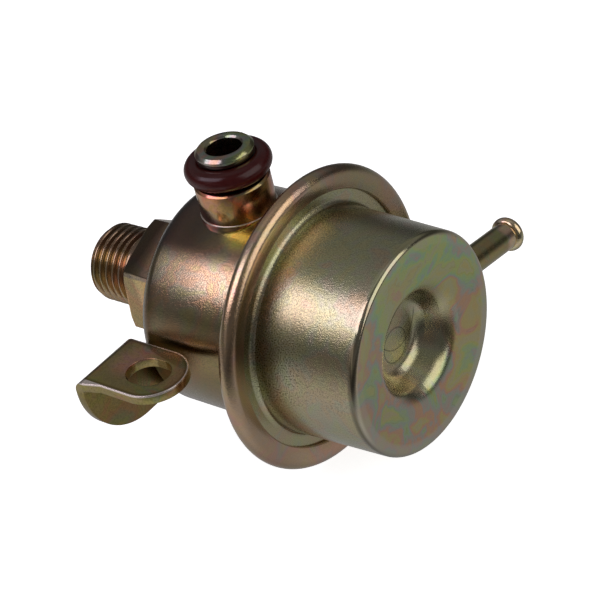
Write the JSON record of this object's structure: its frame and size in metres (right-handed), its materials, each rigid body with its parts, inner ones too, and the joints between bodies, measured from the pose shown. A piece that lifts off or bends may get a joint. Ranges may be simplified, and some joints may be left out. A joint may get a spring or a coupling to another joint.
{
  "type": "fuel pressure regulator",
  "caption": "Diaphragm fuel pressure regulator in yellow zinc-plated steel with threaded outlet, sealed push-in inlet, vacuum nipple and slotted fixing bracket.",
  "frame": {"origin": "centre of the hexagon's seating face, where the outlet thread starts", "axes": "+X along the main axis from the outlet towards the spring cover, +Z out of the inlet spigot, and the bracket on the -Y side"},
  "size_m": [0.0676, 0.0732, 0.0562],
  "materials": {
    "housing_zinc": "satin yellow-passivated zinc plate",
    "cover_zinc": "satin yellow-passivated zinc plate",
    "bracket_zinc": "satin yellow-passivated zinc plate",
    "fitting_zinc": "machined and yellow-passivated zinc plate",
    "spigot_zinc": "machined and yellow-passivated zinc plate",
    "nipple_zinc": "satin yellow-passivated zinc plate",
    "seal_rubber": "glossy dark maroon",
    "diaphragm_rubber": "matt fabric-backed rubber",
    "spring_steel": "drawn wire",
    "inner_steel": "plated pressing",
    "valve_steel": "ground",
    "tube_brass": "turned"
  },
  "bodies": {
    "regulator_body": {"fuel_housing": "housing_zinc", "spring_cover": "cover_zinc", "bracket": "bracket_zinc", "outlet_fitting": "fitting_zinc", "inlet_spigot": "spigot_zinc", "inlet_o_ring": "seal_rubber", "vacuum_nipple": "nipple_zinc", "seat_tube": "tube_brass", "diaphragm": "diaphragm_rubber", "main_spring": "spring_steel", "spring_seat": "inner_steel"},
    "diaphragm_stack": {"spring_plate": "inner_steel", "support_washer": "inner_steel", "valve_holder": "valve_steel", "ball_spring": "spring_steel", "ball_retainer": "tube_brass"},
    "valve": {"valve_ball": "valve_steel", "valve_plate": "valve_steel"}
  },
  "joints": [
    {"name": "diaphragm_lift", "type": "slide", "parent": "regulator_body", "child": "diaphragm_stack", "axis": [1, 0, 0], "range_m": [0, 0.001], "stiffness_N_per_m": 15000, "deforming": ["main_spring", "diaphragm"]},
    {"name": "valve_swivel", "type": "hinge", "parent": "diaphragm_stack", "child": "valve", "pos_m": [0.0294, 0, 0], "axis": [0, 1, 0], "range_deg": [-1, 1], "stiffness_Nm_per_rad": 0.002}
  ]
}
